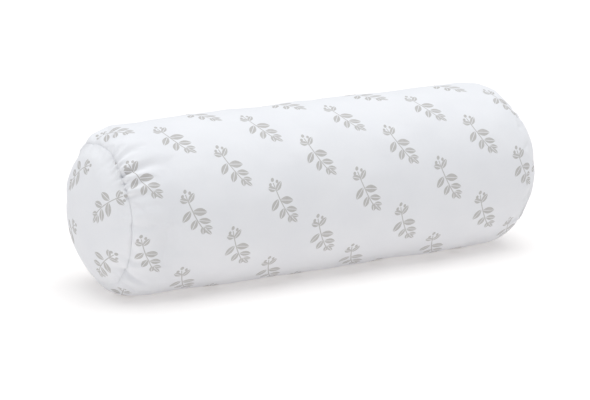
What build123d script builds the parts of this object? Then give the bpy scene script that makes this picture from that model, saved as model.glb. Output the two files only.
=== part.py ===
"""Round bolster pillow, cut and sewn: a rolled side panel, two round end panels, their seams and a loose foam fill.

The pillow lies on its side with its length along X. Z is up, and the origin is the middle of the footprint.
Its weight presses a narrow flat along the underside, and that flat rests on the surface at z = 0.
"""

from build123d import *

import math
import os
import random

# Driving dimensions, in millimetres
BODY_RADIUS = 77.0
SEAM_RADIUS = 64.0  # of the stitched circle that joins an end panel to the side panel
SEAM_HALF = 207.5  # from mid length to the plane of each end seam
SHOULDER = 40.0  # length over which the side panel curves in to the end seam
DOME = 20.0  # how far an end panel bulges past its seam
FLAT_DEPTH = 3.9  # how deep the weight presses the underside in
CLOTH = 0.6  # thickness of the cotton twill
ALLOWANCE = 10.0  # width of the hem turned in at each seam

# The lengthwise seam, at the back and just under mid height
LONG_SEAM_ANGLE = -20.0  # degrees about X, from +Y towards +Z
PLY_GAP = 0.4  # between the two hems that face each other
OPENING_HALF = 75.0  # half of the gap that the fill went in by

# Sewing thread
THREAD_RADIUS = 0.2
STITCH = 2.5  # length of thread seen between two needle holes
STITCH_PITCH = 3.1
STITCH_INSET = 3.2  # from the fold to the stitch line
TOUCH = 0.03  # clearance between the thread and the cloth that it lies on
CLOSING_STITCH = 4.2
CLOSING_PITCH = 6.0
CLOSING_SLANT = 35.0

# The care label, held by its top edge in the lengthwise seam
LABEL_THICKNESS = 0.25
LABEL_WIDTH = 42.0
LABEL_DROP = 28.0  # degrees round the body, about 38 mm
LABEL_X = 150.0
LABEL_CLEARANCE = 0.3
LABEL_TAB = 8.0  # depth held between the hems

# The fill: chopped foam, each piece inside a sphere of its own
FOAM_GRADES = {  # node: (sphere radius, most pieces that are placed)
    "foam_pieces_large": (17.0, 84),
    "foam_pieces_medium": (12.0, 120),
    "foam_pieces_small": (7.5, 220),
}
FOAM_MARGIN = 8.0  # left free inside the cloth, where the casing puckers
FOAM_GAP = 0.3
FOAM_TRIES = 40000
SEED = 11

AXIS_HEIGHT = BODY_RADIUS - FLAT_DEPTH
BODY_END = SEAM_HALF - SHOULDER  # where a shoulder starts
DOME_RADIUS = (SEAM_RADIUS**2 + DOME**2) / (2 * DOME)
FAR = 2 * SEAM_HALF  # larger than anything here


def lift(shape):
    """Moves a shape modelled about the X axis up to the height at which the pillow lies."""
    return Pos(0, 0, AXIS_HEIGHT) * shape


def body_solid(inset):
    """The space inside the side panel, shrunk by inset, as a full solid about the X axis."""
    end = SEAM_HALF - inset
    radius = BODY_RADIUS - inset
    body = Line((-BODY_END, radius), (BODY_END, radius))
    right = EllipticalCenterArc((BODY_END, SEAM_RADIUS), end - BODY_END, radius - SEAM_RADIUS, arc_size=90)
    left = mirror(right, Plane.YZ)
    base = Polyline((-end, SEAM_RADIUS), (-end, 0), (end, 0), (end, SEAM_RADIUS))
    return revolve(make_face([body, right, left, base]), Axis.X)


def above(height):
    """Everything over a plane that lies at this height above the floor."""
    return Pos(0, 0, height + FAR / 2) * Box(2 * FAR, FAR, FAR)


def seam_slab(thickness):
    """A thin slab in the plane of the lengthwise seam, from well inside the hems outwards."""
    slab = Pos(0, SEAM_RADIUS / 2 + FAR / 2, 0) * Box(2 * FAR, FAR, thickness)
    return Rot(LONG_SEAM_ANGLE, 0, 0) * slab


def side_panel():
    """The rolled rectangle of cloth, with its hems turned in along the length and at both ends."""
    outer = lift(body_solid(0)) & above(0)
    inner = lift(body_solid(CLOTH)) & above(CLOTH)
    hem_core = lift(Rot(0, 90, 0) * Cylinder(SEAM_RADIUS - ALLOWANCE, 2 * FAR))
    cloth = outer - inner - hem_core
    hem_zone = lift(body_solid(CLOTH / 2) - body_solid(ALLOWANCE))
    hems = hem_zone & lift(seam_slab(PLY_GAP + 2 * CLOTH))
    return cloth + (hems - hem_core) - lift(seam_slab(PLY_GAP))


def end_panel(side):
    """A round end panel, bulged by the fill, with its hem folded flat behind the side panel's hem."""
    rim = SEAM_HALF + PLY_GAP
    centre = rim + DOME - DOME_RADIUS
    inner_radius = DOME_RADIUS - CLOTH
    hem_back = rim + CLOTH
    fold = math.sqrt(inner_radius**2 - (hem_back - centre) ** 2)

    def arc_point(radius, r):
        return (centre + math.sqrt(radius**2 - r**2), r)

    dome = ThreePointArc((rim, SEAM_RADIUS), arc_point(DOME_RADIUS, SEAM_RADIUS / 2), (rim + DOME, 0))
    lining = ThreePointArc(
        (rim + DOME - CLOTH, 0), arc_point(inner_radius, SEAM_RADIUS / 2), (hem_back, fold)
    )
    crown = Line((rim + DOME, 0), (rim + DOME - CLOTH, 0))
    hem_edge = SEAM_RADIUS - ALLOWANCE
    hem = Polyline((hem_back, fold), (hem_back, hem_edge), (rim, hem_edge), (rim, SEAM_RADIUS))
    panel = revolve(make_face([dome, crown, lining, hem]), Axis.X)
    return lift(panel if side > 0 else mirror(panel, Plane.YZ))


def ring_of_stitches(x):
    """Stitches in a circle round the X axis, clear of the lengthwise seam."""
    radius = SEAM_RADIUS - STITCH_INSET
    count = int(2 * math.pi * radius / STITCH_PITCH)
    stitch = Cylinder(THREAD_RADIUS, STITCH)
    clear = PLY_GAP / 2 + 2 * CLOTH + STITCH / 2
    ring = []
    for i in range(count):
        turn = 360 * i / count
        from_seam = radius * math.sin(math.radians(turn - LONG_SEAM_ANGLE))
        if abs(from_seam) > clear or math.cos(math.radians(turn - LONG_SEAM_ANGLE)) < 0:
            ring.append(lift(Pos(x, 0, 0) * Rot(turn, 0, 0) * Pos(0, radius, 0) * stitch))
    return Compound(children=ring)


def end_seam_threads(side):
    """The needle thread on the side panel's hem and the bobbin thread on the end panel's hem."""
    off = CLOTH + THREAD_RADIUS + TOUCH
    needle = ring_of_stitches(side * (SEAM_HALF - off))
    bobbin = ring_of_stitches(side * (SEAM_HALF + PLY_GAP + off))
    return needle, bobbin


def long_seam_thread(face):
    """Stitches along one face of the two hems, leaving out the opening that the fill went in by."""
    off = face * (PLY_GAP / 2 + CLOTH + THREAD_RADIUS + TOUCH)
    stitch = Rot(0, 90, 0) * Cylinder(THREAD_RADIUS, STITCH)
    radius = BODY_RADIUS - CLOTH - STITCH_INSET
    count = int((BODY_END - OPENING_HALF) / STITCH_PITCH)
    row = []
    for i in range(count):
        x = OPENING_HALF + (i + 0.5) * STITCH_PITCH
        for sign in (-1, 1):
            row.append(lift(Rot(LONG_SEAM_ANGLE, 0, 0) * Pos(sign * x, radius, off) * stitch))
    return Compound(children=row)


def closing_stitches():
    """Slanted whip stitches on the outside, which close the opening after filling."""
    count = int(2 * OPENING_HALF / CLOSING_PITCH)
    radius = BODY_RADIUS + THREAD_RADIUS + TOUCH
    across = Rot(0, CLOSING_SLANT, 0) * Cylinder(THREAD_RADIUS, CLOSING_STITCH)
    row = []
    for i in range(count):
        x = (i - (count - 1) / 2) * CLOSING_PITCH
        row.append(lift(Rot(LONG_SEAM_ANGLE, 0, 0) * Pos(x, radius, 0) * across))
    return Compound(children=row)


def care_label():
    """A blank woven label: a flap that lies on the side panel and a tab held between the hems."""
    inner = BODY_RADIUS + LABEL_CLEARANCE
    outer = inner + LABEL_THICKNESS
    strip = Pos(LABEL_X, (outer + inner) / 2) * Rectangle(LABEL_WIDTH, LABEL_THICKNESS)
    flap = Rot(LONG_SEAM_ANGLE, 0, 0) * revolve(strip, Axis.X, -LABEL_DROP)
    tab_depth = LABEL_TAB + LABEL_CLEARANCE + LABEL_THICKNESS
    tab = Pos(LABEL_X, outer - tab_depth / 2, 0) * Box(LABEL_WIDTH, tab_depth, LABEL_THICKNESS)
    return lift(flap + Rot(LONG_SEAM_ANGLE, 0, 0) * tab)


def foam_room(x):
    """Radius of the space that the fill takes at x, or 0 outside it."""
    past = abs(x) - BODY_END
    if past <= 0:
        return BODY_RADIUS - FOAM_MARGIN
    reach = SHOULDER - FOAM_MARGIN
    if past >= reach:
        return 0.0
    rise = BODY_RADIUS - SEAM_RADIUS
    return SEAM_RADIUS - FOAM_MARGIN + rise * math.sqrt(1 - (past / reach) ** 2)


def foam_places(dice):
    """Centres of the foam pieces by grade: random places whose spheres touch nothing."""
    taken, places = [], {}
    for node, (radius, wanted) in FOAM_GRADES.items():
        found = []
        for _ in range(FOAM_TRIES):
            if len(found) == wanted:
                break
            x = dice.uniform(-SEAM_HALF, SEAM_HALF)
            room = min(foam_room(x), foam_room(abs(x) + radius)) - radius
            if room <= 0:
                continue
            y, z = dice.uniform(-room, room), dice.uniform(-room, room)
            low = FLAT_DEPTH + FOAM_MARGIN - BODY_RADIUS + radius
            if math.hypot(y, z) > room or z < low:
                continue
            if all(math.dist((x, y, z), c) > radius + r + FOAM_GAP for c, r in taken):
                taken.append(((x, y, z), radius))
                found.append((x, y, z))
        places[node] = found
    return places


def foam_piece(dice, radius):
    """One chopped chunk: an uneven four or five sided prism with a slanted end, inside its sphere."""
    height = radius * dice.uniform(0.9, 1.25)
    reach = math.sqrt(radius**2 - (height / 2) ** 2)
    sides = dice.choice((4, 5))
    corners = []
    for i in range(sides):
        turn = 2 * math.pi * (i + dice.uniform(-0.22, 0.22)) / sides
        corner = reach * dice.uniform(0.72, 1.0)
        corners.append((corner * math.cos(turn), corner * math.sin(turn)))
    chunk = Pos(0, 0, -height / 2) * extrude(make_face(Polyline(*corners, close=True)), height)
    tilt = Rot(dice.uniform(-25, 25), dice.uniform(-25, 25), 0)
    cut = Pos(0, 0, height / 2) * tilt * Pos(0, 0, radius) * Box(4 * radius, 4 * radius, 2 * radius)
    turned = Rot(dice.uniform(0, 360), dice.uniform(0, 360), dice.uniform(0, 360))
    return turned * (chunk - cut)


def foam_fill():
    """Every grade of foam as a group of separate pieces."""
    dice = random.Random(SEED)
    grades = {}
    for node, places in foam_places(dice).items():
        radius = FOAM_GRADES[node][0]
        pieces = [lift(Pos(*place) * foam_piece(dice, radius)) for place in places]
        grades[node] = Compound(children=pieces)
    return grades


def main():
    parts = {"side_panel": side_panel(), "care_label": care_label()}
    for name, side in (("left", -1), ("right", 1)):
        parts[f"{name}_end_panel"] = end_panel(side)
        needle, bobbin = end_seam_threads(side)
        parts[f"{name}_seam_needle_thread"] = needle
        parts[f"{name}_seam_bobbin_thread"] = bobbin
    parts["long_seam_needle_thread"] = long_seam_thread(1)
    parts["long_seam_bobbin_thread"] = long_seam_thread(-1)
    parts["closing_stitches"] = closing_stitches()
    parts.update(foam_fill())
    os.makedirs("parts", exist_ok=True)
    for name, shape in parts.items():
        export_step(shape, f"parts/{name}.step")
        print(name, len(shape.solids()), "solids", round(shape.volume), "mm3")


main()
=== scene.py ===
"""Looks of a round bolster pillow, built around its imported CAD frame.

The casing is one closed net of quads: a rolled side panel and two round end panels that share their seam
rings. It starts as the filled shape with gathers at the seams, is blown up as cloth, and is then cut
into its three panels, each with its hems turned in and its own thickness. Stitches and the label follow
the cloth. Lengths are in metres.
"""
import math

import bpy
import numpy as np
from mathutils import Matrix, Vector


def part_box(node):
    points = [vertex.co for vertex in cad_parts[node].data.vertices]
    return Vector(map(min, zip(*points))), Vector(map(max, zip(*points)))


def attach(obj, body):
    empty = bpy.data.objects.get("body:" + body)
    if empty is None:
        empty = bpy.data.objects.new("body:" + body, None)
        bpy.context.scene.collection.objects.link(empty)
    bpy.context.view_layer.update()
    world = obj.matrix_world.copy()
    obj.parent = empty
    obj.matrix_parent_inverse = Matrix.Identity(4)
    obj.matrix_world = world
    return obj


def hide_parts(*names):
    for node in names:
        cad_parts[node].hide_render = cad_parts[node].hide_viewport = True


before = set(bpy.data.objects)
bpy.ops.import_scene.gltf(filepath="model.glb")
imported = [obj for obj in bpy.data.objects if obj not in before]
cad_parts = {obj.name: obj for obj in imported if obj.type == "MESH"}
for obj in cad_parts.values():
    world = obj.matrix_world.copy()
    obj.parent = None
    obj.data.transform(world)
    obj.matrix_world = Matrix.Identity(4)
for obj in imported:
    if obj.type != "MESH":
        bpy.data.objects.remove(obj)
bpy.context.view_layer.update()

MM = 0.001

# ------------------------------------------------------------ sizes that come from the frame
SIDE_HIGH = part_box("side_panel")[1]
END_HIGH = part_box("right_end_panel")[1]
LABEL_LOW, LABEL_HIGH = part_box("care_label")
BODY_RADIUS = SIDE_HIGH.y
AXIS_HEIGHT = SIDE_HIGH.z - BODY_RADIUS
SEAM_HALF = SIDE_HIGH.x  # from mid length to an end seam
SEAM_RADIUS = END_HIGH.y
DOME = END_HIGH.x - SEAM_HALF
LABEL_WIDTH = LABEL_HIGH.x - LABEL_LOW.x
LABEL_X = (LABEL_HIGH.x + LABEL_LOW.x) / 2

# ------------------------------------------------------------ sizes of the cloth
BARREL = 1 * MM  # how much thinner the tube is at its shoulders
SHOULDER = 40 * MM
BODY_END = SEAM_HALF - SHOULDER
CLOTH = 0.6 * MM
ROLL = 0.4 * MM  # radius at which the cloth turns into a hem
PLY_GAP = 0.3 * MM  # between the hems of the lengthwise seam
END_GAP = 0.05 * MM  # between the hems of an end seam
HEM_ROLL_STEPS = 4
HEM_STEPS = (1.2 * MM, 3.2 * MM, 6 * MM, 9.4 * MM)  # past the roll
LONG_SEAM = math.radians(-20)  # about X, from +Y towards +Z
CAMERA_SIDE = math.pi  # the same angle, for the side that faces -Y

# ------------------------------------------------------------ the net
AROUND = 304  # points round each ring, a multiple of 8
DISC_RINGS = AROUND // 8
FINE_STEP, COARSE_STEP = 1.5 * MM, 6.0 * MM
FINE_ZONE = 44 * MM  # from each end seam, where the gathers are
SEED = 7

# ------------------------------------------------------------ the cloth simulation
PRESSURE = 4.0
FRAMES = 20
CAP = 4 * MM
DOME_HOLD, DOME_BLEND = 0.6, 15 * MM  # share of the move that a dome gives up, and over what distance
SOFT_EDGE = 0.7 * MM  # of the flat underside
PRESSED_IN = 0.12 * MM
PRESSED_BELOW = 12 * MM


def unit(vectors):
    """The vectors at length 1."""
    return vectors / np.maximum(np.linalg.norm(vectors, axis=-1, keepdims=True), 1e-12)


def smooth(x):
    """0 below 0, 1 above 1, and a smooth rise between."""
    x = np.clip(x, 0, 1)
    return x * x * (3 - 2 * x)


def bell(x):
    """1 at 0, falling to nothing by about 2."""
    return np.exp(-x * x)


def turned(angle_a, angle_b):
    """The difference of two angles, from -pi to pi."""
    return (angle_a - angle_b + math.pi) % (2 * math.pi) - math.pi


# ------------------------------------------------------------ the net's rings and grids
def side_profile():
    """Distance along the cloth, x and radius of the side panel's rings, from the left seam to the right."""
    turn = np.linspace(0, math.pi / 2, 400)
    body_x = np.linspace(-BODY_END, BODY_END, 400)[1:-1]
    shoulder_radius = BODY_RADIUS - BARREL
    end_x = BODY_END + SHOULDER * np.sin(turn)
    end_r = SEAM_RADIUS + (shoulder_radius - SEAM_RADIUS) * np.cos(turn)
    x = np.concatenate([-end_x[::-1], body_x, end_x])
    r = np.concatenate([end_r[::-1], BODY_RADIUS - BARREL * (body_x / BODY_END) ** 2, end_r])
    along = np.concatenate([[0], np.cumsum(np.hypot(np.diff(x), np.diff(r)))])
    middle = along[-1] / 2
    stops = [0.0]
    while stops[-1] < middle:
        blend = smooth((stops[-1] - FINE_ZONE) / FINE_ZONE)
        stops.append(stops[-1] + FINE_STEP + (COARSE_STEP - FINE_STEP) * blend)
    half = np.array(stops) * middle / stops[-1]
    stop = np.concatenate([half, 2 * middle - half[-2::-1]])
    return stop - middle, np.interp(stop, along, x), np.interp(stop, along, r)


def disc_cell(i, j):
    """Ring number, and turn from 0 to 1, of a corner of a square grid wrapped into rings round its middle."""
    ring = max(abs(i), abs(j))
    if ring == 0:
        return 0, 0.0
    if i == ring and j > -ring:
        steps = j
    elif j == ring:
        steps = 2 * ring - i
    elif i == -ring:
        steps = 4 * ring - j
    else:
        steps = 6 * ring + i
    return ring, (steps / (8 * ring)) % 1.0


class Net:
    """The closed net: points as (x, radius, angle), quads, and the fabric coordinates of each panel."""

    def __init__(self):
        self.along, ring_x, ring_r = side_profile()
        self.rows = len(self.along)
        self.turns = np.arange(AROUND + 1) / AROUND
        angles = LONG_SEAM + self.turns[:-1] * 2 * math.pi
        grid = np.empty((self.rows, AROUND, 3))
        grid[:, :, 0] = ring_x[:, None]
        grid[:, :, 1] = ring_r[:, None]
        grid[:, :, 2] = angles[None, :]
        self.side = np.arange(self.rows * AROUND).reshape(self.rows, AROUND)
        following = np.roll(self.side, -1, axis=1)
        quads = np.stack([self.side[:-1], following[:-1], following[1:], self.side[1:]], -1)
        self.points = [grid.reshape(-1, 3)]
        self.count = self.side.size
        self.discs = {side: self.add_disc(side) for side in (-1, 1)}
        self.points = np.concatenate(self.points)
        self.quads = np.concatenate([quads.reshape(-1, 4)] + [disc["quads"] for disc in self.discs.values()])

    def add_disc(self, side):
        """One domed end panel, whose outer ring is the side panel's last ring."""
        dome_radius = (SEAM_RADIUS ** 2 + DOME ** 2) / (2 * DOME)
        half_angle = math.asin(SEAM_RADIUS / dome_radius)
        flat_step = dome_radius * half_angle / DISC_RINGS
        seam_row = self.side[0 if side < 0 else -1]
        own, index, ring_of, flat = [], {}, {}, {}
        span = range(-DISC_RINGS, DISC_RINGS + 1)
        for i in span:
            for j in span:
                ring, turn = disc_cell(i, j)
                angle = LONG_SEAM + turn * 2 * math.pi
                if ring == DISC_RINGS:
                    at = int(seam_row[round(turn * AROUND) % AROUND])
                else:
                    bend = half_angle * ring / DISC_RINGS
                    x = SEAM_HALF + dome_radius * (math.cos(bend) - math.cos(half_angle))
                    at = self.count + len(own)
                    own.append((side * x, dome_radius * math.sin(bend), angle))
                index[i, j] = at
                ring_of[at] = ring
                flat[at] = (side * ring * flat_step * math.cos(angle), ring * flat_step * math.sin(angle))
        corners = ((0, 0), (1, 0), (1, 1), (0, 1)) if side > 0 else ((0, 1), (1, 1), (1, 0), (0, 0))
        quads = [[index[i + a, j + b] for a, b in corners] for i in span[:-1] for j in span[:-1]]
        self.points.append(np.array(own))
        self.count += len(own)
        return {"quads": np.array(quads), "rim": seam_row, "ring": ring_of, "flat": flat, "step": flat_step}


# ------------------------------------------------------------ gathers, dents and lumps
# The strong gathers at the upper front of the near end: reach and depth in mm, from the top one down.
NEAR_GATHERS = ((15, 2.0), (26, 3.4), (18, 2.8), (29, 3.7), (17, 2.8), (23, 3.0), (14, 1.9))
NEAR_GATHERS_FROM, NEAR_GATHERS_APART = 64, 6.6  # degrees above the camera's side, and from one to the next
CREASE_ANGLES = (41, 53)  # of two short creases, in degrees below the camera's side
CREASE = (1.7 * MM, 24 * MM, 1.7 * MM, 0.28)  # half width, reach, depth and lean
SMALL_FOLDS = 38  # round each end seam
GATHER_ZONE = 100 * MM  # from a seam, beyond which no fold counts
DOME_SHARE = 0.4  # of a fold's depth, on the end panel
DENTS = (  # x, angle, half length along x, half width round the body, and depth
    (-176 * MM, CAMERA_SIDE + math.radians(13), 21 * MM, 29 * MM, 9.0 * MM),
    (-186 * MM, CAMERA_SIDE - math.radians(58), 20 * MM, 13 * MM, -1.4 * MM),
    (196 * MM, CAMERA_SIDE + math.radians(38), 34 * MM, 34 * MM, 3.4 * MM),
)
LUMPS = (  # height, wavelength, and number of waves
    (0.5 * MM, 80 * MM, 14),
    (0.33 * MM, 36 * MM, 18),
    (0.14 * MM, 18 * MM, 24),
)
ROUNDING = 1e-6


def gathers(side):
    """Folds at one end seam: (angle, half width, reach along the side panel, depth, lean)."""
    dice = np.random.default_rng(SEED + side)
    folds = []
    if side < 0:
        for step, (reach, depth) in enumerate(NEAR_GATHERS):
            degrees = NEAR_GATHERS_FROM - NEAR_GATHERS_APART * step + dice.uniform(-1, 1)
            half_width = dice.uniform(1.8, 2.4) * MM
            lean = dice.uniform(-0.2, 0.02)
            folds.append((CAMERA_SIDE - math.radians(degrees), half_width, reach * MM, depth * MM, lean))
        folds += [(CAMERA_SIDE + math.radians(degrees), *CREASE) for degrees in CREASE_ANGLES]
    for i in range(SMALL_FOLDS):
        angle = 2 * math.pi * (i + dice.uniform(-0.4, 0.4)) / SMALL_FOLDS
        depth = dice.uniform(0.1, 1.0) ** 2 * 1.3 * MM
        width = dice.uniform(2.2, 4.5) * MM
        folds.append((angle, width, dice.uniform(9, 30) * MM, depth, dice.uniform(-0.2, 0.2)))
    return folds


def fold_depth(folds, distance, angle):
    """How deep the cloth is drawn in this far from a seam, with a small ridge on each side of a fold."""
    total = np.zeros_like(angle)
    for fold_angle, half_width, reach, depth, lean in folds:
        across = np.abs(turned(angle, fold_angle) * SEAM_RADIUS - lean * distance)
        width = half_width * (1 + 0.8 * distance / reach)
        shape = bell(across / width) - 0.45 * bell((across - 1.9 * width) / width)
        total += depth * shape * np.exp(-((distance / reach) ** 1.7))
    return total


def waves(points, wavelength, count, seed):
    """A smooth random field over points, 0 on average and about 1 high."""
    dice = np.random.default_rng(seed)
    total = np.zeros(len(points))
    for _ in range(count):
        direction = unit(dice.normal(size=3))
        scale = wavelength * dice.uniform(0.7, 1.5)
        total += np.sin(points @ direction * 2 * math.pi / scale + dice.uniform(0, 2 * math.pi))
    return total / math.sqrt(count / 2)


def filled_shape(points):
    """Places in the frame of the net's points: the filled casing with its gathers, dents and lumps."""
    x, radius, angle = points.T
    round_way = np.stack([np.zeros_like(x), np.cos(angle), np.sin(angle)], 1)
    place = radius[:, None] * round_way
    place[:, 0] = x
    sink = np.zeros(len(points))
    for side in (-1, 1):
        inward = SEAM_HALF - side * x
        near = (np.abs(inward) < GATHER_ZONE) & (side * x > 0)
        on_side = inward[near] > -ROUNDING
        rise = radius[near] - SEAM_RADIUS
        distance = np.where(on_side, np.hypot(inward[near], np.maximum(rise, 0)), -rise)
        depth = fold_depth(gathers(side), distance, angle[near])
        share = np.where(on_side, 1.0, DOME_SHARE * bell(distance / (9 * MM)))
        sink[near] += depth * share
    on_dome = np.abs(x) > SEAM_HALF + ROUNDING
    for dent_x, dent_angle, half_x, half_round, depth in DENTS:
        around = turned(angle, dent_angle) * BODY_RADIUS
        sink += depth * bell((x - dent_x) / half_x) * bell(around / half_round) * ~on_dome
    lumps = np.zeros(len(points))
    for k, (height, wavelength, count) in enumerate(LUMPS):
        lumps += height * waves(place, wavelength, count, SEED + k)
    lean_out = np.clip((np.abs(x) - BODY_END) / SHOULDER, 0, 1) ** 3
    normal = round_way.copy()
    normal[:, 0] = np.sign(x) * np.where(on_dome, 1.4, 0.75 * lean_out)
    place += unit(normal) * (lumps - sink)[:, None]
    place[:, 2] += AXIS_HEIGHT
    return place


def pressed(place):
    """Flattens the underside onto the surface that the pillow lies on, with a soft edge."""
    height = place[:, 2]
    flat = (height + np.sqrt(height ** 2 + 4 * SOFT_EDGE ** 2)) / 2 - PRESSED_IN
    place[:, 2] = np.maximum(np.where(height < PRESSED_BELOW, flat, height), 0)
    return place


def inflate(places, net):
    """Runs the casing as cloth under the fill's pressure, and caps how far each point may move."""
    casing_net = mesh_object("casing_net", places, net.quads)
    held = casing_net.vertex_groups.new(name="held")
    held.add(np.nonzero(places[:, 2] < 1 * MM)[0].tolist(), 1.0, "REPLACE")
    seams = casing_net.vertex_groups.new(name="seams")
    seams.add(np.concatenate([net.side[0], net.side[-1]]).tolist(), 1.0, "REPLACE")
    cloth = casing_net.modifiers.new("cloth", "CLOTH")
    settings = cloth.settings
    settings.quality = 6
    settings.mass = 0.15
    settings.air_damping = 4
    settings.tension_stiffness = 25
    settings.compression_stiffness = 25
    settings.shear_stiffness = 12
    settings.bending_stiffness = 0.4
    settings.use_pressure = True
    settings.uniform_pressure_force = PRESSURE
    settings.vertex_group_mass = "held"
    settings.vertex_group_shrink = "seams"
    settings.shrink_min = 0.0
    settings.shrink_max = 0.05
    settings.effector_weights.gravity = 0.0
    cloth.collision_settings.use_collision = False
    cloth.point_cache.frame_end = FRAMES
    for frame_number in range(1, FRAMES + 1):
        bpy.context.scene.frame_set(frame_number)
    evaluated = casing_net.evaluated_get(bpy.context.evaluated_depsgraph_get())
    blown = places_of(evaluated.to_mesh())
    bpy.data.objects.remove(casing_net)
    bpy.context.scene.frame_set(1)
    shift = blown - places
    far = np.linalg.norm(shift, axis=1)
    print("cloth moved %.2f mm on average, %.2f at most" % (far.mean() / MM, far.max() / MM))
    share = CAP * np.tanh(far / CAP) / np.maximum(far, 1e-9)
    from_axis = np.hypot(places[:, 1], places[:, 2] - AXIS_HEIGHT)
    share *= 1 - DOME_HOLD * smooth((SEAM_RADIUS - from_axis) / DOME_BLEND)
    return places + shift * share[:, None]


# ------------------------------------------------------------ meshes
def mesh_object(name, places, quads, coords=None):
    """A smooth-shaded mesh in the scene, with one fabric coordinate for each point if coords is given."""
    mesh = bpy.data.meshes.new(name)
    mesh.from_pydata(places.tolist(), [], np.asarray(quads).tolist())
    mesh.polygons.foreach_set("use_smooth", [True] * len(mesh.polygons))
    if coords is not None:
        corner_points = np.zeros(len(mesh.loops), np.int32)
        mesh.loops.foreach_get("vertex_index", corner_points)
        layer = mesh.uv_layers.new(name="fabric")
        layer.data.foreach_set("uv", coords[corner_points].astype(np.float32).ravel())
    mesh.update()
    made = bpy.data.objects.new(name, mesh)
    bpy.context.scene.collection.objects.link(made)
    return made


def places_of(mesh):
    """The points of a mesh as an array."""
    places = np.zeros(len(mesh.vertices) * 3, np.float32)
    mesh.vertices.foreach_get("co", places)
    return places.reshape(-1, 3).astype(float)


def point_normals(places, quads):
    """The smooth outward normal at each point of a net of quads."""
    corner = places[quads]
    across = np.cross(corner[:, 2] - corner[:, 0], corner[:, 3] - corner[:, 1])
    normals = np.zeros_like(places)
    for k in range(4):
        np.add.at(normals, quads[:, k], across)
    return unit(normals)


def add_thickness(piece, thickness):
    """Gives a sheet its cloth's thickness, inwards."""
    solid = piece.modifiers.new("thickness", "SOLIDIFY")
    solid.thickness = thickness
    solid.offset = -1


def hem_lines(edge, before, goal):
    """The lines of a hem, from the cloth's edge on: over a small roll, then straight along goal."""
    run = unit(edge - before)
    cosine = np.clip((run * goal).sum(-1, keepdims=True), -0.999, 0.999)
    turn = np.arccos(cosine)
    side_way = unit(goal - run * cosine)
    lines = []
    for step in range(1, HEM_ROLL_STEPS + 1):
        angle = turn * step / HEM_ROLL_STEPS
        lines.append(edge + ROLL * (side_way * (1 - np.cos(angle)) + run * np.sin(angle)))
    rolled = lines[-1]
    lines += [rolled + goal * step for step in HEM_STEPS]
    return lines


HEM = HEM_ROLL_STEPS + len(HEM_STEPS)  # lines in a hem
HEM_WIDTHS = [ROLL * (k + 1) / HEM_ROLL_STEPS for k in range(HEM_ROLL_STEPS)]
HEM_WIDTHS += [ROLL + step for step in HEM_STEPS]  # of cloth, from the edge to each line


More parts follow.
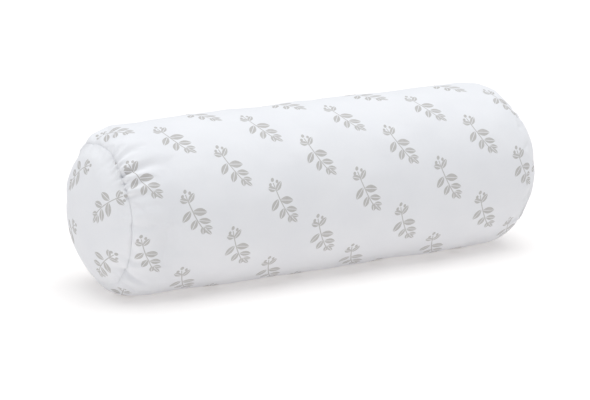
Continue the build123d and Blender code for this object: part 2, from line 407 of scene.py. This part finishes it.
class SidePanel:
    """The rolled side panel, opened along its lengthwise seam, as a grid of places."""

    def __init__(self, net, casing, normals):
        self.along = net.along
        self.arcs = net.turns * 2 * math.pi * BODY_RADIUS
        self.grid = np.concatenate([casing[net.side], casing[net.side[:, :1]]], axis=1)
        self.normals = np.concatenate([normals[net.side], normals[net.side[:, :1]]], axis=1)
        self.pucker_long_seam()
        self.seam_line = self.grid[:, 0].copy()
        for edge, before in ((0, 1), (-1, -2)):
            run = unit(self.grid[:, edge] - self.grid[:, before])
            self.grid[:, edge] -= run * (ROLL + PLY_GAP / 2)

    def pucker_long_seam(self):
        """Draws the cloth in along the lengthwise seam, more where it was closed by hand."""
        reach = np.minimum(self.arcs, self.arcs[-1] - self.arcs)
        by_hand = smooth((78 * MM - np.abs(self.along)) / (10 * MM))
        machine = 0.5 + 0.5 * waves(self.along[:, None] * np.array([[1.0, 0, 0]]), 9 * MM, 6, SEED + 2)
        hand = 0.9 + 0.5 * np.cos(self.along * 2 * math.pi / CLOSING_PITCH)
        depth = (0.35 + 0.35 * machine) * (1 - by_hand) + hand * by_hand
        inside = smooth((SEAM_HALF - 4 * MM - np.abs(self.along)) / (20 * MM))
        sink = (depth * inside)[:, None] * bell(reach / (3.2 * MM))[None, :] * MM
        self.grid -= self.normals * sink[:, :, None]

    def at(self, along, arc):
        """The place on the cloth at these fabric coordinates, and the outward normal there."""
        arc = arc % self.arcs[-1]
        row = np.clip(np.searchsorted(self.along, along) - 1, 0, len(self.along) - 2)
        column = np.clip(np.searchsorted(self.arcs, arc) - 1, 0, len(self.arcs) - 2)
        t = (along - self.along[row]) / (self.along[row + 1] - self.along[row])
        q = (arc - self.arcs[column]) / (self.arcs[column + 1] - self.arcs[column])
        found = []
        for values in (self.grid, self.normals):
            low = values[row, column] * (1 - q) + values[row, column + 1] * q
            high = values[row + 1, column] * (1 - q) + values[row + 1, column + 1] * q
            found.append(low * (1 - t) + high * t)
        return found[0], unit(found[1])

    def make(self):
        """The mesh, with hems at both ends and on both sides of the lengthwise seam, and notched corners."""
        rows, columns = self.grid.shape[:2]
        whole = np.full((rows + 2 * HEM, columns + 2 * HEM, 3), np.nan)
        whole[HEM:-HEM, HEM:-HEM] = self.grid
        coords = np.zeros(whole.shape[:2] + (2,))
        widths = np.array(HEM_WIDTHS)
        lengthwise = np.concatenate([self.along[0] - widths[::-1], self.along, self.along[-1] + widths])
        coords[:, :, 0] = lengthwise[:, None]
        coords[:, :, 1] = -np.concatenate([-widths[::-1], self.arcs, self.arcs[-1] + widths])[None, :]
        for edge, before, low in ((0, 1, True), (-1, -2, False)):
            to_axis = -self.grid[edge] + np.array([0, 0, AXIS_HEIGHT])
            to_axis[:, 0] = 0
            lines = hem_lines(self.grid[edge], self.grid[before], unit(to_axis))
            for k, line in enumerate(lines):
                whole[HEM - 1 - k if low else HEM + rows + k, HEM:-HEM] = line
            lines = hem_lines(self.grid[:, edge], self.grid[:, before], -self.normals[:, edge])
            for k, line in enumerate(lines):
                whole[HEM:-HEM, HEM - 1 - k if low else HEM + columns + k] = line
        self.whole = whole
        index = np.arange(whole.shape[0] * whole.shape[1]).reshape(whole.shape[:2])
        quads = np.stack([index[:-1, :-1], index[:-1, 1:], index[1:, 1:], index[1:, :-1]], -1).reshape(-1, 4)
        places = whole.reshape(-1, 3)
        quads = quads[np.isfinite(places[quads]).all(axis=(1, 2))]
        return compact_object("side_panel_cloth", places, quads, coords.reshape(-1, 2))


def compact_object(name, places, quads, coords):
    """A mesh of only the points that its quads use."""
    used, quads = np.unique(quads, return_inverse=True)
    return mesh_object(name, places[used], quads.reshape(-1, 4), coords[used])


def end_panel(name, net, casing, side):
    """One round end panel, whose rim stands a little proud of the seam, and the lines of its hem."""
    disc = net.discs[side]
    places = casing.copy()
    rim = disc["rim"]
    own = np.array(list(disc["ring"]))
    rings = np.array(list(disc["ring"].values()))
    lift = 1.82 * ROLL + END_GAP
    places[own, 0] += side * lift * bell((DISC_RINGS - rings) * disc["step"] / (5 * MM))
    coords = np.zeros((len(places), 2))
    coords[own] = np.array(list(disc["flat"].values()))
    edge = places[rim]
    around = unit(edge - [0, 0, AXIS_HEIGHT])
    around[:, 0] = 0
    around = unit(around)
    dome_slope = math.atan2(DOME, SEAM_RADIUS) * 2
    run = around * math.cos(dome_slope) - np.array([side * math.sin(dome_slope), 0, 0])
    lines = hem_lines(edge, edge - run, -around)
    quads = [disc["quads"]]
    last = rim
    for line, width in zip(lines, HEM_WIDTHS):
        ring = len(places) + np.arange(AROUND)
        grown = 1 + width / (DISC_RINGS * disc["step"])
        places = np.concatenate([places, line])
        coords = np.concatenate([coords, coords[rim] * grown])
        band = [last, np.roll(last, -1), np.roll(ring, -1), ring]
        quads.append(np.stack(band if side < 0 else band[::-1], -1))
        last = ring
    return compact_object(name, places, np.concatenate(quads), coords), lines


# ------------------------------------------------------------ stitches and the label
THREAD_RADIUS = 0.2 * MM
STITCH = 2.5 * MM
STITCH_PITCH = 3.1 * MM
OPENING_HALF = 75 * MM
CLOSING_PITCH = 6 * MM
CLOSING_REACH = 2.1 * MM  # half the length of a closing stitch
CLOSING_SLANT = math.radians(35)
STITCH_SIDES, STITCH_SECTIONS = 8, 9


def stitches(name, starts, ends, ups, height):
    """Separate stitches of twisted thread, each an arch that tapers into the cloth at both ends."""
    t = np.linspace(0, 1, STITCH_SECTIONS)
    bow = 4 * t * (1 - t)
    thick = THREAD_RADIUS * np.sqrt(np.clip(1 - (2 * t - 1) ** 6, 0.04, 1))
    turn = np.arange(STITCH_SIDES) / STITCH_SIDES * 2 * math.pi
    count = len(starts)
    run = unit(ends - starts)
    side_way = unit(np.cross(run, ups))
    up = np.cross(side_way, run)
    line = starts[:, None] + (ends - starts)[:, None] * t[None, :, None]
    line = line + up[:, None] * (height * bow - THREAD_RADIUS * (1 - bow))[None, :, None]
    ring = up[:, None] * np.cos(turn)[None, :, None] + side_way[:, None] * np.sin(turn)[None, :, None]
    places = line[:, :, None] + ring[:, None] * thick[None, :, None, None]
    index = np.arange(count * STITCH_SECTIONS * STITCH_SIDES).reshape(count, STITCH_SECTIONS, STITCH_SIDES)
    following = np.roll(index, -1, axis=2)
    tube = np.stack([index[:, :-1], following[:, :-1], following[:, 1:], index[:, 1:]], -1).reshape(-1, 4)
    caps = []
    for end, flip in ((0, 1), (-1, -1)):
        for k in range(STITCH_SIDES // 2 - 1):
            corners = [0 - k, 1 + k, 2 + k, -1 - k]
            caps.append(index[:, end][:, [c % STITCH_SIDES for c in corners][::flip]])
    coords = np.zeros(places.shape[:-1] + (2,))
    coords[..., 0] = t[None, :, None] * STITCH
    coords[..., 1] = turn[None, None, :] * THREAD_RADIUS
    quads = np.concatenate([tube[:, ::-1]] + [cap[:, ::-1] for cap in caps])
    return mesh_object(name, places.reshape(-1, 3), quads, coords.reshape(-1, 2))


def along_line(line, pitch, length, closed):
    """Starts and ends of pieces of this length, this far apart, along a line of points."""
    if closed:
        line = np.concatenate([line, line[:1]])
    run = np.concatenate([[0], np.cumsum(np.linalg.norm(np.diff(line, axis=0), axis=1))])
    count = int(run[-1] / pitch)
    start = (np.arange(count) + 0.1) * run[-1] / count
    return [np.stack([np.interp(at, run, line[:, k]) for k in range(3)], 1) for at in (start, start + length)]


def end_seam_stitches(name, line, toward, material):
    """A ring of stitches that lie on one hem's free face, on the side that toward points to."""
    ups = np.array([toward, 0.0, 0.0])
    starts, ends = along_line(line + ups * CLOTH, STITCH_PITCH, STITCH, True)
    made = stitches(name, starts, ends, np.tile(ups, (len(starts), 1)), THREAD_RADIUS)
    dress(made, name.replace("_stitches", "_thread"), material)


def long_seam_stitches(panel, name, column, toward, material):
    """Machine stitches along one face of the lengthwise hems, leaving out the opening."""
    normal = unit(np.cross([1.0, 0, 0], -panel.normals[:, 0])) * toward
    line = panel.whole[HEM:-HEM, column] + normal * CLOTH
    starts, ends = [], []
    for side in (-1, 1):
        chosen = (side * panel.along > OPENING_HALF) & (side * panel.along < BODY_END)
        first, last = along_line(line[chosen], STITCH_PITCH, STITCH, False)
        starts.append(first)
        ends.append(last)
    starts, ends = np.concatenate(starts), np.concatenate(ends)
    ups = np.tile(normal[len(normal) // 2], (len(starts), 1))
    made = stitches(name, starts, ends, ups, THREAD_RADIUS)
    dress(made, name.replace("_stitches", "_thread"), material)


def closing_stitches(panel, material):
    """Slanted whip stitches across the lengthwise seam, a little uneven, as sewn by hand."""
    dice = np.random.default_rng(SEED + 5)
    count = int(2 * OPENING_HALF / CLOSING_PITCH)
    starts, ends, ups = [], [], []
    for i in range(count):
        along = (i - (count - 1) / 2) * CLOSING_PITCH + dice.uniform(-0.4, 0.4) * MM
        reach = CLOSING_REACH * dice.uniform(0.9, 1.1)
        slant = CLOSING_SLANT + dice.uniform(-0.1, 0.1)
        step, rise = reach * math.sin(slant), reach * math.cos(slant)
        start, up_a = panel.at(along - step, -rise)
        end, up_b = panel.at(along + step, rise)
        starts.append(start)
        ends.append(end)
        ups.append(up_a + up_b)
    made = stitches("closing_whip_stitches", *[np.array(v) for v in (starts, ends, ups)], 0.45 * MM)
    dress(made, "closing_stitches", material)


LABEL_DROP = math.radians(28) * BODY_RADIUS
LABEL_TAB = 8 * MM  # depth held between the hems
LABEL_THICKNESS = 0.25 * MM
LABEL_ACROSS, LABEL_DOWN = 30, 44


def care_label(panel, material):
    """A blank satin label: held between the hems, bent over, and hanging down the back of the body."""
    places, coords = [], []
    for down in np.linspace(-LABEL_TAB, LABEL_DROP, LABEL_DOWN):
        for across in np.linspace(-0.5, 0.5, LABEL_ACROSS):
            along = LABEL_X + across * LABEL_WIDTH
            if down <= 0:
                seam, normal = panel.at(along, 0.0)
                lower, _ = panel.at(along, -1e-6)
                place = (seam + lower) / 2 + normal * (down + 0.3 * MM)
            else:
                surface, normal = panel.at(along, -down)
                share = down / LABEL_DROP
                curl = 2.6 * share ** 2 * (0.55 + 0.45 * math.cos(5.2 * across + 0.8))
                curl += 0.35 * math.sin(9 * across) * share
                place = surface + normal * (0.5 + 0.25 * math.exp(-down / MM) + max(curl, 0)) * MM
            places.append(place)
            coords.append((across * LABEL_WIDTH, -down))
    index = np.arange(LABEL_DOWN * LABEL_ACROSS).reshape(LABEL_DOWN, LABEL_ACROSS)
    quads = np.stack([index[:-1, :-1], index[1:, :-1], index[1:, 1:], index[:-1, 1:]], -1).reshape(-1, 4)
    label = mesh_object("care_label_satin", np.array(places), quads, np.array(coords))
    add_thickness(label, LABEL_THICKNESS)
    dress(label, "care_label", material)


def dress(piece, node, material):
    """Gives a piece its material and its body, and hides the CAD node that it stands for."""
    piece.data.materials.append(material)
    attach(piece, "root")
    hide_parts(node)


# ------------------------------------------------------------ shader arithmetic
class Field:
    """A number that varies over a surface, worked out by math nodes and written as plain arithmetic."""

    def __init__(self, tree, socket):
        self.tree = tree
        self.socket = socket

    def math(self, operation, *others):
        node = self.tree.nodes.new("ShaderNodeMath")
        node.operation = operation
        for slot, value in enumerate((self, *others)):
            if isinstance(value, Field):
                self.tree.links.new(value.socket, node.inputs[slot])
            else:
                node.inputs[slot].default_value = value
        return Field(self.tree, node.outputs[0])

    def __add__(self, other):
        return self.math("ADD", other)

    def __sub__(self, other):
        return self.math("SUBTRACT", other)

    def __mul__(self, other):
        return self.math("MULTIPLY", other)

    def absolute(self):
        return self.math("ABSOLUTE")

    def least(self, other):
        return self.math("MINIMUM", other)

    def most(self, other):
        return self.math("MAXIMUM", other)

    def nearest_whole(self):
        return self.math("ROUND")

    def sine(self):
        return self.math("SINE")

    def clamped(self):
        held = self.math("ADD", 0.0)
        held.socket.node.use_clamp = True
        return held


class Shader:
    """A new material with a Principled shader, and short ways to add the nodes that it needs."""

    def __init__(self, name, colour, roughness):
        self.material = bpy.data.materials.new(name)
        self.material.use_nodes = True
        self.tree = self.material.node_tree
        self.surface = self.tree.nodes["Principled BSDF"]
        self.surface.inputs["Base Color"].default_value = (*colour, 1)
        self.surface.inputs["Roughness"].default_value = roughness

    def constant(self, **values):
        for name, value in values.items():
            self.surface.inputs[name.replace("_", " ")].default_value = value

    def fabric(self):
        """The fabric coordinates, in metres."""
        place = self.tree.nodes.new("ShaderNodeUVMap")
        place.uv_map = "fabric"
        split = self.tree.nodes.new("ShaderNodeSeparateXYZ")
        self.tree.links.new(place.outputs[0], split.inputs[0])
        return Field(self.tree, split.outputs[0]), Field(self.tree, split.outputs[1])

    def noise(self, size, detail=2.0, kind="ShaderNodeTexNoise"):
        """A texture in the object's own space whose features are about this large."""
        place = self.tree.nodes.new("ShaderNodeTexCoord")
        texture = self.tree.nodes.new(kind)
        texture.inputs["Scale"].default_value = 1 / size
        if kind == "ShaderNodeTexNoise":
            texture.inputs["Detail"].default_value = detail
        self.tree.links.new(place.outputs["Object"], texture.inputs["Vector"])
        return Field(self.tree, texture.outputs[0])

    def blend(self, share, first, second):
        """A colour between two, by share."""
        mix = self.tree.nodes.new("ShaderNodeMix")
        mix.data_type = "RGBA"
        self.tree.links.new(share.socket, mix.inputs["Factor"])
        for slot, colour in ((6, first), (7, second)):
            if isinstance(colour, tuple):
                mix.inputs[slot].default_value = (*colour, 1)
            else:
                self.tree.links.new(colour, mix.inputs[slot])
        return mix.outputs[2]

    def colour(self, socket):
        self.tree.links.new(socket, self.surface.inputs["Base Color"])

    def roughness(self, field):
        self.tree.links.new(field.socket, self.surface.inputs["Roughness"])

    def bump(self, height, distance, strength):
        """Relief from a height of 0 to 1 that stands for this distance."""
        node = self.tree.nodes.new("ShaderNodeBump")
        node.inputs["Strength"].default_value = strength
        node.inputs["Distance"].default_value = distance
        self.tree.links.new(height.socket, node.inputs["Height"])
        self.tree.links.new(node.outputs[0], self.surface.inputs["Normal"])


# ------------------------------------------------------------ the printed sprig
PITCH = 85.1 * MM  # along a row of sprigs
ROW_STEP = 37.3 * MM  # from row to row, each half a pitch on
SPRIG_TILT = math.radians(65)  # of a sprig from its row
INK = (0.50, 0.485, 0.47)
CLOTH_WHITE = (0.828, 0.831, 0.85)
CLOTH_SHADE = (0.79, 0.795, 0.82)

LEAVES = (  # of the sprig, in mm: where it leaves the stem, its turn in degrees, length and width
    (-13.0, 0.0, 128.0, 9.0, 4.6),
    (-12.0, 0.4, -118.0, 10.0, 5.0),
    (-5.0, 1.0, 62.0, 12.5, 6.2),
    (-3.5, 0.2, -58.0, 13.5, 6.8),
    (4.5, 0.2, 50.0, 11.0, 5.6),
    (6.0, -0.8, -52.0, 11.5, 5.8),
    (13.0, -1.4, 34.0, 8.5, 4.2),
    (13.5, -1.8, -44.0, 8.0, 4.2),
    (16.5, -1.6, -8.0, 7.5, 3.6),
)
BERRIES = ((-19.5, 3.4, 1.5), (-22.0, -0.4, 1.7), (-18.6, -4.2, 1.4))  # x, y and radius in mm
STEM_HALF = 0.45  # half the stem's width in mm
STEM_REACH = 19.5


def leaf(x, y, at_x, at_y, degrees, length, width):
    """How far inside a pointed leaf with an unprinted middle vein a point is, in mm."""
    turn = math.radians(degrees)
    along = (x - at_x) * math.cos(turn) + (y - at_y) * math.sin(turn)
    across = ((y - at_y) * math.cos(turn) - (x - at_x) * math.sin(turn)).absolute()
    share = along * (2 / length) - 1
    half = (share * share) * (-width / 2) + width / 2
    return (half - across).least(across - 0.28)


def sprig(x, y):
    """How far inside the ink a point is, in mm: a bent stem with paired leaves, a tip and three berries."""
    bent = y + x * x * 0.006 - 0.9
    ink = (bent.absolute() * -1 + STEM_HALF).least(x.absolute() * -1 + STEM_REACH)
    for shape in LEAVES:
        ink = ink.most(leaf(x, bent, *shape))
    for at_x, at_y, radius in BERRIES:
        off_x, off_y = x - at_x, bent - at_y
        ink = ink.most((off_x * off_x + off_y * off_y).math("SQRT") * -1 + radius)
    return ink


def off_lattice(along, down):
    """How far a point is, both ways, from the nearest sprig of every second row."""
    rows = 2 * ROW_STEP
    off_along = along - (along * (1 / PITCH)).nearest_whole() * PITCH
    off_down = down - (down * (1 / rows)).nearest_whole() * rows
    return off_along, off_down


def print_mask(across, up, row_turn, sprig_turn, origin):
    """1 on the ink and 0 off it, for rows of sprigs that run along row_turn, each row half a pitch on."""
    right, rise = across - origin[0], up - origin[1]
    along = right * math.cos(row_turn) + rise * math.sin(row_turn)
    down = right * math.sin(row_turn) - rise * math.cos(row_turn)
    even_along, even_down = off_lattice(along, down)
    odd_along, odd_down = off_lattice(along - PITCH / 2, down - ROW_STEP)
    even_far = even_along * even_along + even_down * even_down
    odd_far = odd_along * odd_along + odd_down * odd_down
    odd_nearer = odd_far.math("LESS_THAN", even_far)
    along = even_along + (odd_along - even_along) * odd_nearer
    down = even_down + (odd_down - even_down) * odd_nearer
    x = (along * math.cos(sprig_turn) + down * math.sin(sprig_turn)) * (1 / MM)
    y = (down * math.cos(sprig_turn) - along * math.sin(sprig_turn)) * (1 / MM)
    return (sprig(x, y) * 4 + 0.5).clamped()


def printed_cotton(name, row_turn, sprig_turn, origin):
    """White cotton twill with the grey sprig print."""
    shader = Shader(name, CLOTH_WHITE, 0.85)
    shader.constant(Sheen_Weight=0.12, Sheen_Roughness=0.5, Specular_IOR_Level=0.25)
    across, up = shader.fabric()
    weft = (across * (2 * math.pi / (0.52 * MM)) + up * (2 * math.pi / (0.52 * MM))).sine()
    warp = (up * (2 * math.pi / (0.34 * MM)) - across * (2 * math.pi / (1.3 * MM))).sine()
    weave = weft * 0.32 + warp * 0.18 + 0.5
    slub = shader.noise(2.2 * MM, 3.0)
    mottle = shader.noise(38 * MM, 2.0)
    cloth = shader.blend((mottle * 1.6 - 0.3 + (slub - 0.5) * 0.5).clamped(), CLOTH_WHITE, CLOTH_SHADE)
    mask = print_mask(across, up, row_turn, sprig_turn, origin)
    wear = (slub * 0.35 + weave * 0.16 + 0.66).clamped()
    shader.colour(shader.blend(mask * wear, cloth, INK))
    shader.roughness(slub * 0.14 + mask * -0.04 + 0.79)
    shader.bump(weave * 0.5 + slub * 0.5, 0.12 * MM, 0.35)
    return shader.material


def sewing_thread():
    """White polyester thread of three twisted plies, with painted shade in the grooves between them."""
    shader = Shader("white_sewing_thread", (0.86, 0.865, 0.87), 0.55)
    shader.constant(Sheen_Weight=0.2, Specular_IOR_Level=0.4)
    along, around = shader.fabric()
    ply = (along * (2 * math.pi / (0.55 * MM)) + around * (3 / THREAD_RADIUS)).sine() * 0.5 + 0.5
    fuzz = shader.noise(0.12 * MM, 2.0)
    # painted shade: the colour darkens in the grooves between the plies, where the bump is lowest; the fuzz
    # varies it at random
    shader.colour(shader.blend((ply * 0.7 + fuzz * 0.3).clamped(), (0.74, 0.745, 0.75), (0.9, 0.9, 0.905)))
    shader.roughness(fuzz * 0.2 + 0.45)
    shader.bump(ply, 0.06 * MM, 0.8)
    return shader.material


def label_satin():
    """White woven satin with fine ribs."""
    shader = Shader("white_label_satin", (0.88, 0.88, 0.88), 0.42)
    shader.constant(Sheen_Weight=0.1, Anisotropic=0.4)
    across, up = shader.fabric()
    rib = (up * (2 * math.pi / (0.45 * MM))).sine() * 0.5 + 0.5
    float_threads = (across * (2 * math.pi / (0.3 * MM))).sine() * 0.5 + 0.5
    cloud = shader.noise(6 * MM, 2.0)
    edge = (across.absolute() * -1 + (LABEL_WIDTH / 2 - 1.2 * MM)) * (1 / (0.2 * MM))
    tone = (cloud * 0.5 + edge.clamped() * 0.5).clamped()
    shader.colour(shader.blend(tone, (0.82, 0.82, 0.82), (0.9, 0.9, 0.895)))
    shader.roughness(rib * 0.08 + cloud * 0.1 + 0.34)
    shader.bump(rib * 0.6 + float_threads * 0.4, 0.05 * MM, 0.5)
    return shader.material


def open_cell_foam():
    """Cream polyurethane foam with open cells and torn faces, with painted shade in the cells' hollows."""
    shader = Shader("cream_foam", (0.83, 0.79, 0.68), 0.95)
    cells = shader.noise(1.1 * MM, kind="ShaderNodeTexVoronoi")
    pores = shader.noise(0.45 * MM, kind="ShaderNodeTexVoronoi")
    tone = shader.noise(24 * MM, 2.0)
    # painted shade: the cells field darkens the colour where the bump sinks into each cell; tone varies it at
    # random
    share = (cells * 0.7 + tone * 0.5 - 0.1).clamped()
    shader.colour(shader.blend(share, (0.72, 0.66, 0.53), (0.87, 0.83, 0.73)))
    shader.roughness(pores * 0.1 + 0.88)
    shader.bump(cells * 0.6 + pores * 0.4, 0.5 * MM, 0.9)
    return shader.material


# ------------------------------------------------------------ the casing, its seams and its fill
BODY_ORIGIN = (18.4 * MM, -184.6 * MM)  # of one sprig, in fabric coordinates
END_ORIGIN = (40.9 * MM, 18.8 * MM)
END_ROWS = math.radians(301)
END_SPRIGS = math.radians(301 - 218)

net = Net()
casing = filled_shape(net.points)
casing = pressed(casing)
casing = pressed(inflate(casing, net))
casing_normals = point_normals(casing, net.quads)

body_cotton = printed_cotton("printed_cotton_body", 0.0, SPRIG_TILT, BODY_ORIGIN)
end_cotton = printed_cotton("printed_cotton_end", END_ROWS, END_SPRIGS, END_ORIGIN)
thread = sewing_thread()

panel = SidePanel(net, casing, casing_normals)
side_cloth = panel.make()
left_cloth, left_hem = end_panel("left_end_cloth", net, casing, -1)
right_cloth, right_hem = end_panel("right_end_cloth", net, casing, 1)
for piece, node, cotton in (
    (side_cloth, "side_panel", body_cotton),
    (left_cloth, "left_end_panel", end_cotton),
    (right_cloth, "right_end_panel", end_cotton),
):
    add_thickness(piece, CLOTH)
    dress(piece, node, cotton)

STITCH_LINE = HEM_ROLL_STEPS + 1  # the hem's line that the stitches run along
for name, side, hem, row in (
    ("left", -1, left_hem, HEM - 1 - STITCH_LINE),
    ("right", 1, right_hem, STITCH_LINE - HEM),
):
    side_hem = panel.whole[row, HEM:-HEM]
    end_seam_stitches(f"{name}_seam_needle_stitches", side_hem, -side, thread)
    end_seam_stitches(f"{name}_seam_bobbin_stitches", hem[STITCH_LINE], side, thread)
long_seam_stitches(panel, "long_seam_needle_stitches", HEM - 1 - STITCH_LINE, 1, thread)
long_seam_stitches(panel, "long_seam_bobbin_stitches", STITCH_LINE - HEM, -1, thread)
closing_stitches(panel, thread)
care_label(panel, label_satin())

foam = open_cell_foam()
for name, cad_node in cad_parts.items():
    if name.startswith("foam_pieces"):
        cad_node.data.materials.clear()
        cad_node.data.materials.append(foam)


# ------------------------------------------------------------ floor, light and camera
FLOOR_REACH = 20
SURROUND_COLOUR, SURROUND_STRENGTH = (0.90, 0.95, 1.0, 1), 0.37
SUNS = (  # name, strength, disc in degrees, and turn about X, Y and Z in degrees
    ("overhead", 2.38, 72, (0, 7, 0)),
    ("left_fill", 0.5, 60, (12, -70, 0)),
)
CAMERA_AZIMUTH, CAMERA_ELEVATION = math.radians(-29.6), math.radians(14.0)
CAMERA_DISTANCE = 2.582
CAMERA_AIM = (-11.2 * MM, 0, AXIS_HEIGHT - 11.5 * MM)
SENSOR_WIDTH, LENS = 36, 174.3  # in mm, as Blender takes them


def floor():
    """A white sweep that gives off a little light of its own, as a light table does."""
    shader = Shader("white_sweep", (0.715, 0.70, 0.69), 0.9)
    shader.constant(Emission_Strength=0.31)
    shader.surface.inputs["Emission Color"].default_value = (1.0, 0.975, 0.965, 1)
    mesh = bpy.data.meshes.new("floor")
    corners = [(x * FLOOR_REACH, y * FLOOR_REACH, 0) for x, y in ((-1, -1), (1, -1), (1, 1), (-1, 1))]
    mesh.from_pydata(corners, [], [(0, 1, 2, 3)])
    made = bpy.data.objects.new("floor", mesh)
    made.data.materials.append(shader.material)
    bpy.context.scene.collection.objects.link(made)


def light():
    """A broad overhead light, a weak fill from the left, and a pale, slightly cool surround."""
    world = bpy.data.worlds.new("studio")
    bpy.context.scene.world = world
    world.use_nodes = True
    surround = world.node_tree.nodes["Background"]
    surround.inputs["Color"].default_value = SURROUND_COLOUR
    surround.inputs["Strength"].default_value = SURROUND_STRENGTH
    for name, energy, spread, tilt in SUNS:
        sun = bpy.data.lights.new(name, "SUN")
        sun.energy = energy
        sun.angle = math.radians(spread)
        lamp = bpy.data.objects.new(name, sun)
        lamp.rotation_euler = [math.radians(degrees) for degrees in tilt]
        bpy.context.scene.collection.objects.link(lamp)


def camera():
    """A long lens, looking down a little at the front from the left."""
    level = math.cos(CAMERA_ELEVATION)
    across, away = math.sin(CAMERA_AZIMUTH) * level, -math.cos(CAMERA_AZIMUTH) * level
    back = Vector((across, away, math.sin(CAMERA_ELEVATION)))
    data = bpy.data.cameras.new("camera")
    data.sensor_width = SENSOR_WIDTH
    data.lens = LENS
    made = bpy.data.objects.new("camera", data)
    made.location = Vector(CAMERA_AIM) + back * CAMERA_DISTANCE
    made.rotation_mode = "QUATERNION"
    made.rotation_quaternion = (-back).to_track_quat("-Z", "Y")
    bpy.context.scene.collection.objects.link(made)
    bpy.context.scene.camera = made


floor()
light()
camera()
bpy.context.scene.view_settings.view_transform = "Standard"
